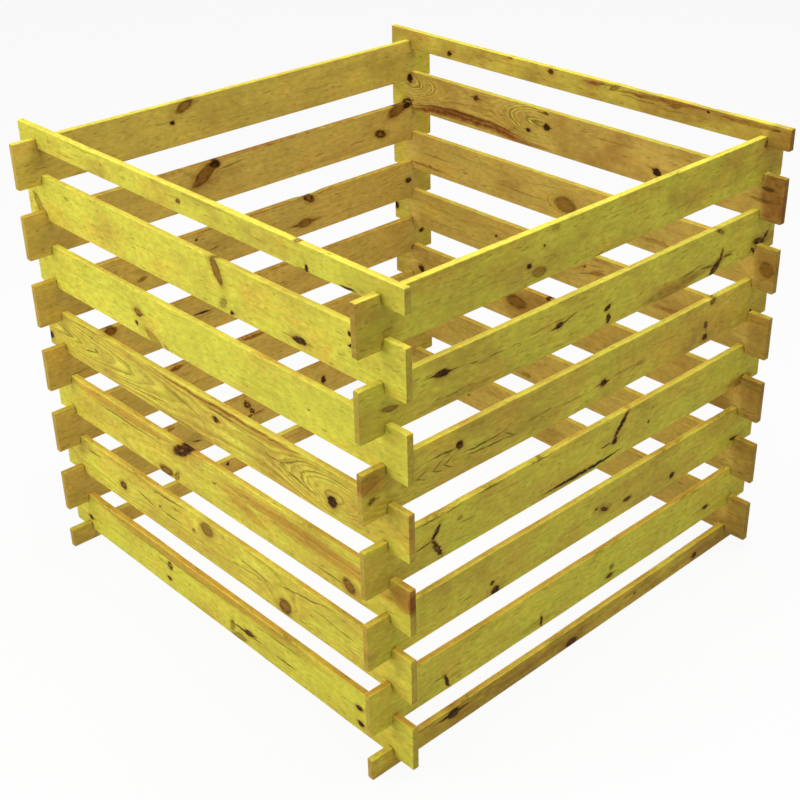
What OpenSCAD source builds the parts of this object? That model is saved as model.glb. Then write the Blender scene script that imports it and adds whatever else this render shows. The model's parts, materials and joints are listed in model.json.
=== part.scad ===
// Slatted timber compost bin.
// Loose boards stack log-cabin fashion: each course of two opposite boards drops into the notches of
// the two boards below it. Front and back boards run along X, left and right boards along Y. The left
// and right stacks start on a half board, and the front and back stacks finish with one, so the two
// pairs of stacks stand half a pitch apart and air slots stay open on all four sides.
// The origin is on the ground at the middle of the footprint.

/* [Boards] */
// Length of every board, and so the outside width and depth of the bin
board_length = 1000; // [600:10:1400]
// Height of a full board
board_height = 85; // [60:1:140]
// Height of a half board, ripped from a full one
half_board_height = 40; // [32:1:65]
// Thickness of every board
board_thickness = 12; // [9:0.5:24]
// Width of the eased edges along each board
edge_ease = 1; // [0.4:0.1:2]

/* [Corner joints] */
// Depth of each notch
notch_depth = 9; // [5:0.5:14]
// Play of a crossing board in its notch, both sides together
notch_play = 1.5; // [0.4:0.1:4]
// How far a board reaches past the outer face of the boards that it crosses
end_overhang = 46; // [20:1:90]

/* [Stack] */
// Number of full boards on each side
board_rows = 6; // [1:1:10]

/* [Hidden] */
// Two notches meet at each crossing, so one board sinks into the next by twice their depth
joint_overlap = 2 * notch_depth;
// Height from one board to the next on the same side
row_pitch = 2 * (board_height - joint_overlap);
// Distance from the middle of the bin to the middle of a wall
wall_centre = board_length / 2 - end_overhang - board_thickness / 2;
notch_width = board_thickness + notch_play;
// Amount by which cutting shapes run past the surface that they cut
cut_past = 1;

front_base = half_board_height - joint_overlap;
side_base = front_base + board_height - joint_overlap;
front_top_base = front_base + board_rows * row_pitch;

// Sapwood with a green tint, golden sapwood and brown heartwood, shared out along the stack
board_colours = ["#D3C754", "#DCBE4E", "#BFA25A"];

ROWS = [1 : board_rows];
SIDES = ["front", "back", "left", "right"];

// A planed board on the Z = 0 plane, along X and centred on it, with its four long edges eased
module blank(height) {
    half_thickness = board_thickness / 2;
    rotate([90, 0, 90])
        linear_extrude(height = board_length, center = true)
            polygon([
                [edge_ease - half_thickness, 0],
                [half_thickness - edge_ease, 0],
                [half_thickness, edge_ease],
                [half_thickness, height - edge_ease],
                [half_thickness - edge_ease, height],
                [edge_ease - half_thickness, height],
                [-half_thickness, height - edge_ease],
                [-half_thickness, edge_ease]
            ]);
}

// The two cuts that take the crossing boards, from the height `from` upwards
module notch_pair(from) {
    for (end = [-1, 1])
        translate([
            end * wall_centre - notch_width / 2,
            -board_thickness / 2 - cut_past,
            from
        ])
            cube([notch_width, board_thickness + 2 * cut_past, notch_depth + cut_past]);
}

module lower_notches() {
    notch_pair(-cut_past);
}

module upper_notches(height) {
    notch_pair(height - notch_depth);
}

// Notched on both edges, so that it locks to the course below and the course above
module full_board() {
    difference() {
        blank(board_height);
        lower_notches();
        upper_notches(board_height);
    }
}

// Flat on the ground, notched on top
module ground_half_board() {
    difference() {
        blank(half_board_height);
        upper_notches(half_board_height);
    }
}

// Notched underneath, with a plain top edge
module top_half_board() {
    difference() {
        blank(half_board_height);
        lower_notches();
    }
}

// Puts a board along X in the front (-1) or back (1) wall at a height
module in_cross_wall(side, height) {
    translate([0, side * wall_centre, height])
        children();
}

// Puts a board along Y in the left (-1) or right (1) wall at a height
module in_side_wall(side, height) {
    translate([side * wall_centre, 0, height])
        rotate([0, 0, 90])
            children();
}

function tone(step) = board_colours[step % len(board_colours)];

module front_board(row) {
    color(tone(row)) in_cross_wall(-1, front_base + (row - 1) * row_pitch) full_board();
}

module back_board(row) {
    color(tone(row + 1)) in_cross_wall(1, front_base + (row - 1) * row_pitch) full_board();
}

module left_board(row) {
    color(tone(row + 2)) in_side_wall(-1, side_base + (row - 1) * row_pitch) full_board();
}

module right_board(row) {
    color(tone(row)) in_side_wall(1, side_base + (row - 1) * row_pitch) full_board();
}

module left_ground_half_board() {
    color(tone(1)) in_side_wall(-1, 0) ground_half_board();
}

module right_ground_half_board() {
    color(tone(2)) in_side_wall(1, 0) ground_half_board();
}

module front_top_half_board() {
    color(tone(0)) in_cross_wall(-1, front_top_base) top_half_board();
}

module back_top_half_board() {
    color(tone(2)) in_cross_wall(1, front_top_base) top_half_board();
}

left_ground_half_board();
right_ground_half_board();
for (row = ROWS) {
    front_board(row);
    back_board(row);
    left_board(row);
    right_board(row);
}
front_top_half_board();
back_top_half_board();
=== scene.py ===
"""A slatted compost bin of loose, notched, pressure-treated pine boards, in a plain pale studio."""

import json
import math
import random
from collections import namedtuple
from functools import partial

import bmesh
import bpy
from bpy.props import FloatProperty, FloatVectorProperty, PointerProperty
from mathutils import Matrix, Vector, noise

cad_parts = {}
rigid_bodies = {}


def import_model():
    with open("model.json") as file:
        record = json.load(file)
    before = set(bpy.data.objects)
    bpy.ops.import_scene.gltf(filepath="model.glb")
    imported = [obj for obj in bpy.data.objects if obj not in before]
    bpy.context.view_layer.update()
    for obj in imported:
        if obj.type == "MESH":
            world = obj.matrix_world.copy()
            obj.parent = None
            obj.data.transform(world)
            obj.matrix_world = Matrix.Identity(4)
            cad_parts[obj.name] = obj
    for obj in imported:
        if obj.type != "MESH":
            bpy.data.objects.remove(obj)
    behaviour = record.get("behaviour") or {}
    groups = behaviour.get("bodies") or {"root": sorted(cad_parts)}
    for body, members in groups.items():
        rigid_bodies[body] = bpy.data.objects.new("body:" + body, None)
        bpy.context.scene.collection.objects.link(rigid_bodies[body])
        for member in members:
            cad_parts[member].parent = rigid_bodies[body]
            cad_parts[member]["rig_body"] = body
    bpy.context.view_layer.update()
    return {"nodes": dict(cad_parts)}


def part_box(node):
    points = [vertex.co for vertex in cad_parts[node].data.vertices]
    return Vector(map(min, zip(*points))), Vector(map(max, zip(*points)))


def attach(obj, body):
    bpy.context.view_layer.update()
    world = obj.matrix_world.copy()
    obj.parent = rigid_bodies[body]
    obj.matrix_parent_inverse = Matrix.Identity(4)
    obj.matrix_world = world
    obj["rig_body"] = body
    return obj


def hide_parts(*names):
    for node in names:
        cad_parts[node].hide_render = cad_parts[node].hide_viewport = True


bl_info = {
    "name": "Slatted Compost Bin",
    "version": (1, 0, 0),
    "blender": (4, 5, 0),
    "location": "View3D > Sidebar > Compost Bin",
    "description": "Dresses the boards of a slatted compost bin in treated pine, in a plain studio",
    "category": "Add Mesh",
}

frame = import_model()

MM = 0.001


def linear(hex_colour):
    """An sRGB hex colour as the linear red, green and blue that Blender works in."""
    channels = [int(hex_colour[i:i + 2], 16) / 255 for i in (1, 3, 5)]
    return tuple(c / 12.92 if c <= 0.04045 else ((c + 0.055) / 1.055) ** 2.4 for c in channels)


# Sizes of the boards, read off the frame
BOARD_LOW, BOARD_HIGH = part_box("front_board_1")
GROUND_LOW, GROUND_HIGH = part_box("right_ground_half_board")
LENGTH = BOARD_HIGH.x - BOARD_LOW.x
THICKNESS = BOARD_HIGH.y - BOARD_LOW.y
NOTCH_DEPTH = (GROUND_HIGH.z - BOARD_LOW.z) / 2
NOTCH_CENTRE = (GROUND_LOW.x + GROUND_HIGH.x) / 2
ROWS = sum(1 for name in frame["nodes"] if name.startswith("front_board_"))

# Distances from an end and from an edge at which a board's mesh has points of its own
END_POINTS = (0.0, 2 * MM, 4.5 * MM, 8 * MM, 13 * MM)
EDGE_POINTS = (0.0, 2.5 * MM, 5 * MM)
# Edges that turn by more than this are eased, and faces that meet at more than this are shaded apart
EASED_ANGLE = math.radians(45)
SHARP_ANGLE = math.radians(50)
# How round the saw-cut corners are knocked, at least and at most, in mm
KNOCKED = (1.0, 4.0)
# The top edge's own colour starts and is full this far below its highest point
TOP_FADE = (1.4 * MM, 0.2 * MM)
# How far wane reaches down a face, how far it keeps from the middle of a notch, and its waves per metre
WANE_DROP = 9 * MM
WANE_CLEAR = 20 * MM
WANE_WAVES = 45
# How uneven planed faces are, in mm, and their waves per metre along, through and up the board
RIPPLE = 0.5
RIPPLE_WAVES = (9, 30, 25)
# Distances from the middle of a notch between which that unevenness grows from nothing
SEAT_CLEAR = (12 * MM, 40 * MM)
# The foot of a ground board stays flat, and its bend grows over this height
FOOT = 10 * MM

# Quarter turns from a board's own axes to its wall. Seen from outside the bin, a board's own X runs
# to the right, its Z up and its -Y out.
TURNS = {"front": 0, "right": 1, "back": 2, "left": 3}

Knot = namedtuple("Knot", "x z half_length half_width angle darkness dead wing push")
Streak = namedtuple("Streak", "x z half_length angle half_width strength curve kind")
Wane = namedtuple("Wane", "x half_length depth")
Timber = namedtuple("Timber", "green brown figure warm_edge inner", defaults=[0.85])
Growth = namedtuple("Growth", "depth height slope turn curve ring centre reach")


def knot(x, z, half_length, half_width, angle=0, darkness=0.9, dead=0.9, wing=0, push=1.0):
    """A knot on a board: mm along and up from its middle and lower edge, its long axis turned by degrees.

    A dead knot is near black all through, a live one is brown with a dark rim. The wing is how far a
    pointed run-out reaches on both sides, and the push is how far the growth rings bend round it, in half
    widths.
    """
    return Knot(x * MM, z * MM, half_length * MM, half_width * MM, math.radians(angle), darkness, dead,
                wing * MM, push)


def swirl(x, z, radius, push=1.3):
    """A place where the rings close round a branch that the saw didn't reach, in mm and radii."""
    return knot(x, z, radius, radius, 0, 0.0, 0.0, 0, push)


def check(x, z, half_length, angle=0, half_width=1.3, strength=0.5, curve=0.0):
    """A fine dark line along the grain, from latewood to an open drying crack, in mm and degrees.

    The curve bends it: times the square of the distance along in metres, it is the rise in metres.
    """
    return Streak(x * MM, z * MM, half_length * MM, math.radians(angle), half_width * MM, strength, curve,
                  "check")


def stain_and_shade(x, z, half_length, angle=0, half_width=5, strength=0.8, curve=0.0):
    """A band of resin or bark stain along the grain, measured like a check; a few are painted shade and
    shadows.
    """
    return check(x, z, half_length, angle, half_width, strength, curve)._replace(kind="stain_and_shade")


def band(x, z, half_length, angle=0, half_width=8, strength=0.7, curve=0.0):
    """A tan band of slow-grown wood along the grain, measured like a check."""
    return check(x, z, half_length, angle, half_width, strength, curve)._replace(kind="band")


def wane(x, half_length, depth):
    """A stretch of the top edge where the sawn edge runs out into the round of the log, in mm."""
    return Wane(x * MM, half_length * MM, depth * MM)


def growth(depth, height, slope=0.0, turn=0, curve=0.0, ring=4.5, centre=0, reach=600):
    """How a board lay in its log: its pith in mm inwards and up, and how that drifts along the board.

    The slope is per length and the curve per metre of distance from the turn. The rings are ring mm apart
    and show within reach of the centre.
    """
    return Growth(depth * MM, height * MM, slope, turn * MM, curve, ring * MM, centre * MM, reach * MM)


# What the boards show, as seen from outside the bin; a few of the stains are painted shade and shadows
MARKS = {
    "front_top_half_board": [
        knot(-13, 21, 5, 4, 20, 0.8, 0.6), knot(298, 5, 7, 3.5, 100, 0.95), check(292, 3, 20, 0, 1.5),
        knot(275, 41, 5, 3, 0, 0.6, 0.5), knot(-232, 24, 2.5, 2, 0, 0.4), check(-286, 36, 66, 0, 1.6, 0.4),
        check(-348, 11, 42, 0, 1.3, 0.35), check(74, 36, 74, 0, 1.3, 0.35), check(385, 4, 21, 0, 2.4, 1.0),
        check(170, 18, 60, -1, 1.2, 0.25),
    ],
    "front_board_6": [
        # The stain at -470 by the lower edge is a painted shadow of the crossing board
        knot(-462, 24, 26, 9, 125, 0.5, 0.3, 0, 0.4), stain_and_shade(-470, 10, 22, 0, 8, 0.35),
        knot(76, 66, 25, 9, 120, 0.82, 0.12, 0, 0.5), knot(88, 15, 11, 7, 40, 0.5, 0.3, 14, 0.4),
        knot(109, 6, 5, 4, 0, 0.85), knot(273, 17, 15, 6, 0, 0.95, 0.8, 27), knot(388, 68, 4, 3.5),
        knot(387, 50, 3, 3, 0, 0.8), stain_and_shade(-363, 61, 9, 0, 4, 0.45), check(-260, 22, 13, 0, 1.5),
        check(-120, 42, 70, 1, 1.2, 0.2), check(180, 36, 80, -1, 1.2, 0.2),
    ],
    "front_board_5": [
        knot(-170, 44, 11, 7.5, 0, 0.78, 0.4, 18, 0.5), knot(-177, 22, 5, 4),
        knot(-128, 8, 27, 9, 155, 0.5, 0.2, 0, 0.4), knot(-92, 4, 8, 4, 150, 0.4, 0.3, 0, 0.3),
        knot(285, 38, 2.5, 2, 0, 0.5), check(-55, 79, 55, 0, 1.3, 0.3), check(-60, 74, 50, 0, 1.2, 0.2),
        check(150, 30, 90, 1, 1.2, 0.18), check(-340, 50, 70, -1, 1.2, 0.18),
    ],
    "front_board_4": [
        knot(-493, 19, 8, 7), knot(37, 53, 7.5, 5.5, 0, 0.85, 0.9, 14),
        knot(331, 30, 11, 10, 30, 1, 0.85, 0, 0.4), swirl(336, 42, 30, 0.7),
        knot(-329, 45, 5, 2.5, -10, 0.5, 0.6, 0, 0.3), stain_and_shade(67, 78, 200, 0.3, 4, 0.85),
        stain_and_shade(-60, 4, 110, 0, 3.5, 0.6), band(60, 74, 330, 0, 11, 0.6), check(53, 68, 54, 0, 1.6, 0.6),
        check(-60, 50, 62, -8, 1.7, 0.6), check(-160, 20, 75, 5.9, 1.7, 0.6),
        check(195, 45, 34, -3, 1.8, 0.6), check(250, 31, 42, -13, 2.2, 0.7),
        check(232, 57, 30, 25, 2.2, 0.6), check(-352, 37, 28, 14, 2.2, 0.65),
        check(-360, 82, 90, 2, 1.5, 0.4), check(130, 60, 70, -3, 1.6),
    ],
    "front_board_3": [
        knot(-80, 76, 29, 11, 27, 1, 0.75, 0, 0.6), knot(-137, 9, 20, 9, 4, 0.85, 0.3, 0, 0.6),
        knot(361, 21, 15, 11, -25, 0.85, 0.2), knot(-104, 12, 13, 6, 60, 0.55, 0.6, 0, 0.4),
        knot(12, 50, 6, 2, 15, 0.4), band(-275, 75, 175, 0, 15, 0.85), band(275, 58, 270, -2, 20, 0.9),
        band(95, 38, 75, -13, 14), stain_and_shade(300, 60, 110, -2, 5, 0.25), band(486, 66, 38, 0, 30, 0.9),
        stain_and_shade(486, 64, 30, 0, 28, 0.4), stain_and_shade(499, 58, 5, 0, 24), check(-261, 61, 130, 0, 2, 0.65),
        check(310, 18, 45, 0, 2, 0.65), check(60, 22, 90, -1, 1.3, 0.3), check(-300, 30, 110, 2, 1.3, 0.25),
        check(240, 40, 90, -5, 1.3, 0.35),
    ],
    "front_board_2": [
        knot(-297, 37, 11, 9, 0, 0.88, 0.6), knot(-27, 68, 18, 14, 10, 0.66, 0.15, 0, 0.5),
        knot(-70, 46, 5, 4, 0, 0.65, 0.6), knot(189, 19, 17, 14, 20, 0.85, 0.2, 0, 0.7),
        knot(-175, 47, 5, 3, 30, 0.4), band(-250, 80, 150, 0, 8, 0.5), check(-393, 67, 32, 0, 2.2, 0.7),
        check(-220, 43, 40, -9, 2.2, 0.75), check(-140, 41, 42, -2, 2.2, 0.7),
        check(-147, 77, 60, 3, 2.4, 0.75), check(110, 50, 62, -6.5, 2.1, 0.65),
        check(243, 68, 88, 10, 2.1, 0.7), check(322, 51, 70, -4.4, 1.8, 0.6),
        check(-120, 65, 22, -3, 2, 0.6),
    ],
    "front_board_1": [
        knot(-163, 54, 7, 9, 0, 0.8, 0.5), knot(-170, 22, 7, 4, 0, 0.8),
        knot(-443, 28, 7, 5, 0, 0.85, 0.8, 16), knot(76, 32, 11, 6, 10, 0.9, 0.6, 26),
        knot(27, 22, 14, 6, 80, 0.55, 0.3, 0, 0.4), knot(47, 8, 20, 7, 10, 0.5, 0.3, 0, 0.4),
        knot(373, 49, 8, 5, 0, 0.9, 0.8, 14), knot(376, 17, 8, 5, 0, 0.95), band(-87, 78, 400, 0, 14, 0.85),
        band(190, 72, 140, 0, 12, 0.5), check(66, 30, 52, 1, 3.6, 0.8), check(177, 27, 34, 0, 2.8, 0.7),
        check(-190, 68, 240, 0, 2, 0.4), check(160, 63, 80, 0.5, 2), check(-186, 52, 26, 1, 2),
        check(-330, 40, 70, 1, 1.3, 0.25),
    ],
    "right_board_6": [
        knot(-161, 33, 5, 4, 0, 1, 1), knot(-138, 16, 15, 8, -12, 0.6, 0.15),
        knot(-103, 78, 9, 5, 0, 0.35, 0.3), knot(-128, 56, 2.5, 2.5), knot(443, 71, 7, 6, 0, 0.6, 0.4),
        check(-250, 30, 70, 1, 1.3, 0.22), check(240, 24, 90, 1, 1.3, 0.22),
        check(60, 62, 90, -1, 1.2, 0.2), stain_and_shade(-300, 80, 110, 0, 4, 0.2),
    ],
    "right_board_5": [
        knot(-340, 56, 15, 6, -4, 0.9, 0.95, 30), knot(-87, 44, 9, 5.5, 8, 0.85, 0.9, 20),
        knot(-443, 39, 16, 5, -8, 0.6, 0.4), knot(30, 35, 7, 4, 20, 0.92), knot(33, 15, 8, 5, 90, 0.85),
        knot(322, 12, 18, 7, 38, 0.85), knot(339, 31, 11, 3.5, 80, 0.75),
        knot(452, 22, 18, 6.5, -12, 0.8, 0.85), knot(329, 77, 12, 4, -32, 0.55),
        knot(474, 28, 9, 3.5, 45, 0.75), knot(436, 9, 8, 3.5, 135, 0.75),
        knot(-415, 43, 7, 3, -10, 0.5, 0.5), stain_and_shade(206, 12, 105, 2, 16, 0.62),
        stain_and_shade(330, 22, 60, 8, 9, 0.4), stain_and_shade(-305, 9, 95, 0, 9, 0.4), stain_and_shade(-110, 52, 60, 2, 3, 0.45),
        stain_and_shade(470, 22, 50, 0, 12, 0.35), check(-277, 50, 11, 0, 1.6, 0.65),
        check(-228, 46, 22, 0, 1.6, 0.65), check(-62, 50, 20, 14, 2.2, 0.75), check(-16, 53, 17, 0, 1.5),
        check(256, 26, 44, 5, 2.0, 0.65), check(358, 24, 18, -8, 3, 0.7), check(296, 20, 22, -10, 3, 0.65),
        check(-323, 15, 56, 0, 1.5, 0.45),
    ],
    "right_board_4": [
        knot(-304, 54, 7, 7.5, 0, 0.85, 0.85), knot(31, 30, 8, 6, 0, 0.95, 0.95, 18),
        knot(125, 31, 10, 3, 0, 0.4, 0.2), knot(311, 38, 7, 5, 90, 0.75), knot(311, 14, 7, 6, 0, 0.8),
        knot(327, 80, 9, 6, 35, 0.55, 0.6), knot(450, 19, 3, 3), knot(-482, 36, 7, 4, 30, 0.6, 0.5),
        band(-482, 62, 30, 0, 24, 0.8), stain_and_shade(-486, 66, 26, 0, 20, 0.4), check(-478, 34, 16, 12, 2),
        stain_and_shade(60, 60, 160, 1, 10, 0.16), check(-336, 52, 32, -2, 3.0, 0.7),
        check(-258, 37, 50, 0, 2.3, 0.8), check(-236, 26, 72, -5, 2.2, 0.7),
        check(-192, 26, 17, -25, 2.2, 0.7), check(-385, 36, 14, 22, 2.0, 0.6),
        check(-387, 29, 13, -20, 2.0, 0.6), check(-352, 37, 14, 24, 2.0, 0.65),
        check(-353, 28, 14, -24, 2.0, 0.65), check(-329, 37, 11, 26, 2.0, 0.65),
        check(-331, 28, 11, -28, 2.0, 0.65), check(-120, 34, 60, 1, 1.8, 0.4),
        check(180, 52, 80, -1, 1.3, 0.2), check(90, 33, 60, -1, 1.6, 0.35),
        check(-40, 28, 40, -2, 1.8, 0.4),
    ],
    "right_board_3": [
        knot(-355, 55, 14, 4, 54, 0.8), knot(-353, 24, 20, 5, 118, 0.78, 0.85),
        knot(86, 62, 27, 4.4, 48, 0.85, 0.95), knot(70, 36, 8, 6, 20, 0.85, 0.95),
        knot(163, 35, 3, 3, 0, 0.75), knot(443, 6, 4, 3, 0, 0.8), knot(-303, 57, 6, 4, 0, 0.3),
        stain_and_shade(442, 10, 44, 0, 14, 0.6), stain_and_shade(-40, 70, 140, 1, 9, 0.14),
        check(-13, 10.5, 118, 0.3, 5.0, 1.0), check(-13, 10.5, 100, 0.3, 3.0, 1.0),
        check(46, 37, 17, 0, 2.4, 0.85), check(-381, 41, 22, 7, 2.2, 0.8), check(-372, 81, 34, 0, 2.2, 0.8),
        check(-318, 82, 22, 1, 2, 0.7), check(-236, 83, 34, 0, 1.8, 0.7), check(-120, 83, 26, 0, 1.6, 0.6),
        check(-288, 45, 24, -2, 2), check(-302, 17, 24, -8, 1.5, 0.4), check(240, 48, 90, -1, 1.3, 0.25),
        check(-200, 64, 60, -3, 1.3, 0.3),
    ],
    "right_board_2": [
        knot(-228, 25, 5, 4, 0, 0.85), knot(-220, 6, 10, 8.5, 0, 0.95, 0.75),
        knot(56, 36, 11, 4, -30, 0.85, 0.8, 0, 0.4), knot(34, 46, 5, 3, 0, 0.7, 0.8, 0, 0.3),
        stain_and_shade(50, 38, 34, -8, 13, 0.35), knot(120, 27, 11, 4, 0, 0.85, 0.85),
        knot(249, 19, 7, 6, 0, 0.85, 0.95), knot(442, 17, 14, 3.5, -10, 0.85),
        check(-285, 24, 13, 0, 1.6, 0.7), check(-343, 35, 15, 10, 1.5, 0.6),
        check(330, 50, 70, 2, 1.3, 0.25), check(-110, 56, 80, -1, 1.3, 0.22),
        check(-20, 33, 50, 3, 1.3, 0.35), stain_and_shade(100, 62, 140, 1, 8, 0.14),
    ],
    "right_board_1": [
        knot(-334, 18, 15, 3.5, 112, 0.95), stain_and_shade(-320, 22, 26, 0, 5, 0.35),
        stain_and_shade(-118, 14, 50, 0, 8, 0.35), knot(-105, 15, 10, 3.5, 90, 0.85, 0.8, 12),
        knot(84, 33, 6, 5, 0, 0.6, 0.4), knot(80, 16, 7, 5, 0, 0.8, 0.7, 16),
        knot(367, 27, 9, 4.5, 0, 0.9, 0.85), check(-350, 31, 24, 0, 1.7, 0.7),
        check(-118, 20, 32, 6, 1.5, 0.45), check(343, 28, 22, 4, 1.8), check(70, 24, 36, 4, 1.4, 0.35),
        check(180, 58, 90, 1, 1.3, 0.22), stain_and_shade(-250, 74, 120, 0, 7, 0.16),
    ],
    "right_ground_half_board": [
        knot(-318, 29, 13, 9.5, 0, 0.9, 1, 38), knot(-20, 9, 15, 8, 0, 0.9, 0.9, 24),
        knot(346, 14, 7, 7, 0, 0.88), knot(160, 22, 4, 3, 0, 0.6), check(-180, 30, 80, 1, 1.5, 0.35),
        check(150, 26, 90, 1, 1.5, 0.3), stain_and_shade(-120, 20, 220, 1, 9, 0.3), stain_and_shade(260, 16, 170, 1, 9, 0.3),
    ],
    "left_board_6": [
        knot(140, 73, 21, 9, 160, 0.75, 0.25), knot(169, 48, 5, 4, 0, 1, 1), knot(-440, 5, 8, 6, 90),
        check(-180, 40, 80, 1, 1.3, 0.25), check(20, 24, 90, -1, 1.3, 0.22),
        stain_and_shade(-260, 60, 120, -1, 8, 0.18),
    ],
    "left_board_5": [
        # The long red-brown stain along the top edge is painted warm shade
        knot(107, 62, 34, 13, 146, 0.85, 0.15, 0, 0.8), knot(82, 77, 12, 9, 0, 1), stain_and_shade(0, 88, 440, 0, 7),
        knot(-352, 33, 15, 9, 20, 0.85, 0.55), stain_and_shade(-368, 30, 18, 0, 7, 0.4),
        stain_and_shade(120, 55, 40, 30, 8, 0.4), knot(-406, 77, 32, 13, 160, 0.85, 0.2, 0, 0.8),
        knot(-430, 79, 10, 7, 0, 1, 1), check(44, 66, 38, -6, 2.6, 0.6), check(-182, 29, 15, 0, 1.6),
        check(-285, 30, 27, 0, 1.6), check(-80, 50, 90, 1, 1.3, 0.22), stain_and_shade(-200, 14, 160, -2, 8, 0.18),
        stain_and_shade(60, 50, 60, -8, 10, 0.2),
    ],
    "left_board_4": [
        knot(-145, 79, 18, 8, 35, 0.85, 0.5), knot(-132, 26, 18, 9, 0, 0.8, 0.2, 40),
        # The long red-brown stain along the top edge is painted warm shade
        stain_and_shade(-130, 28, 60, 0, 5, 0.4), knot(-431, 41, 8, 6), stain_and_shade(0, 87, 440, 0, 7, 0.55),
        stain_and_shade(100, 44, 240, 0, 18, 0.16), check(60, 50, 80, 1, 1.3, 0.3),
        check(-260, 20, 80, -2, 1.3, 0.25), stain_and_shade(275, 27, 14, -10, 6, 0.9), check(102, 41, 16, -4, 2, 0.7),
        knot(142, 70, 3, 2.5, 0, 0.6),
    ],
    "left_board_3": [
        # The long red-brown stain along the top edge is painted warm shade
        knot(-470, 44, 7, 5), knot(180, 30, 5, 4, 0, 0.6), stain_and_shade(0, 87, 440, 0, 7, 0.6),
        stain_and_shade(-60, 40, 260, 1, 18, 0.16), check(-250, 34, 70, 2, 1.3, 0.3),
        knot(357, 78, 13, 9, 20, 0.7, 0.3), stain_and_shade(357, 78, 16, 0, 10, 1.0), check(145, 46, 27, 0, 3.2, 1.0),
        check(145, 46, 24, 0, 3.2, 1.0), check(-62, 46, 10, 0, 1.8, 0.7),
        knot(-444, 12, 8, 5, -40, 0.6, 0.3), check(435, 19, 22, -3, 1.6),
    ],
    "left_board_2": [
        # The long red-brown stain along the top edge is painted warm shade
        knot(-467, 80, 7, 5), stain_and_shade(0, 87, 440, 0, 7, 0.6), stain_and_shade(-200, 30, 200, 1, 18, 0.16),
        check(200, 30, 70, 1, 1.3, 0.3), stain_and_shade(219, 80, 20, -4, 8, 1.0), stain_and_shade(25, 82, 38, 0, 6, 1.0),
    ],
    "left_board_1": [
        knot(53, 62, 13, 6, 56, 0.9, 0.5), knot(42, 42, 9, 4, 60, 0.85, 0.6),
        knot(49, 32, 6, 3, 0, 0.7, 0.5), stain_and_shade(28, 32, 22, 0, 4), stain_and_shade(250, 81, 12, 0, 6),
        # The long red-brown stain along the top edge is painted warm shade
        check(189, 28, 14, 6, 2.6, 0.85), knot(-160, 41, 9, 6, 90), stain_and_shade(0, 87, 440, 0, 7, 0.6),
        check(-260, 30, 80, 1, 1.3, 0.3), stain_and_shade(120, 30, 200, 1, 18, 0.16),
    ],
    "left_ground_half_board": [
        knot(117, 29, 4, 4), knot(-260, 12, 5, 4, 0, 0.6), check(-60, 24, 90, 1, 1.3, 0.3),
    ],
    "back_top_half_board": [
        knot(321, 12, 6, 5, 0, 1, 1), knot(41, 32, 7, 5, 0, 0.85, 0.75), knot(-470, 31, 8, 2.5, -4, 0.7),
        knot(-118, 32, 12, 4, -22, 0.6, 0.3, 20), knot(-262, 29, 13, 4, -8, 0.6, 0.3, 24),
        knot(-330, 34, 3, 2), knot(150, 37, 7, 2, -4, 0.6), stain_and_shade(-68, 33, 30, -4, 5, 0.85),
        # The wide stain at -484 is painted shade over the end that stands out past the right wall
        stain_and_shade(-230, 33, 130, -2, 5, 0.75), stain_and_shade(-420, 32, 80, -1, 6, 0.7), stain_and_shade(-484, 20, 34, 0, 60, 0.5),
        check(-180, 22, 60, 1, 1.6), check(-90, 35, 40, -4, 1.8, 0.6), check(-250, 18, 50, -3, 1.4, 0.4),
        check(180, 24, 110, 0, 1.3, 0.25),
    ],
    "back_board_6": [
        knot(443, 69, 10, 7, 90, 0.95, 0.95, 12), knot(454, 11, 16, 10, 150, 0.98, 0.8, 24),
        knot(245, 68, 7.5, 5.5, 0, 0.9, 0.95, 16), knot(48, 51, 8, 7, 0, 0.9, 0.95, 14),
        knot(97, 34, 6, 4, 0, 0.9, 1, 12), knot(52, 78, 7, 3, 0, 0.75, 0.3),
        knot(-227, 28, 9, 7, 20, 0.95, 0.95, 18), swirl(432, 62, 22, 1.1), swirl(78, 54, 26, 1.0),
        stain_and_shade(272, 19, 205, 0, 13, 1.0, -0.55), stain_and_shade(272, 26, 190, 0, 5, 0.9, -0.5),
        stain_and_shade(110, 6, 80, 0, 6, 0.7), stain_and_shade(-300, 30, 120, 2, 7, 0.3), stain_and_shade(230, 12, 60, 0, 5, 0.4),
        # The wide stain at -484 is painted shade over the end that stands out past the right wall
        stain_and_shade(-484, 45, 34, 0, 95, 0.75), check(-467, 59, 17, 1, 4.4, 0.7),
        check(-458, 36, 32, -1, 4.8, 0.55), check(272, 26, 176, 0, 2.2, 0.6, -0.5),
        check(275, 17, 150, 0, 2.2, 0.55, -0.5), check(98, 62, 14, 35, 1.4, 0.6),
        check(205, 48, 26, 6, 1.8), check(300, 44, 90, -8, 1.4, 0.4), check(-120, 60, 90, -1, 1.3, 0.35),
        check(60, 78, 20, 2, 2, 0.6),
    ],
    "back_board_5": [
        knot(-8, 36, 26, 16, 0, 0.72, 0.08, 0, 1.2), knot(-484, 44, 15, 15, 0, 0.62, 0.15, 0, 0.6),
        # The wide stain at -484 is painted shade over the end that stands out past the right wall
        stain_and_shade(390, 15, 65, 0, 4, 0.75), stain_and_shade(-245, 24, 60, 2, 6, 0.5), stain_and_shade(-484, 45, 32, 0, 95, 0.38),
        stain_and_shade(-180, 60, 160, 1, 9, 0.2), check(368, 43, 60, 0, 1.7), check(110, 31, 82, 1, 1.7),
        check(276, 30, 9, 0, 2, 0.6), check(250, 62, 100, 2, 1.3, 0.3), check(60, 60, 60, -6, 1.3, 0.35),
        check(60, 14, 60, 5, 1.3, 0.35),
    ],
    "back_board_4": [
        knot(494, 31, 8, 8, 0, 1, 1), knot(180, 48, 3.5, 3, 0, 0.65), stain_and_shade(-98, 48, 24, -8, 7, 0.75),
        stain_and_shade(-110, 76, 40, 0, 6, 0.4), check(-56, 51, 18, -32, 1.8, 0.6),
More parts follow.
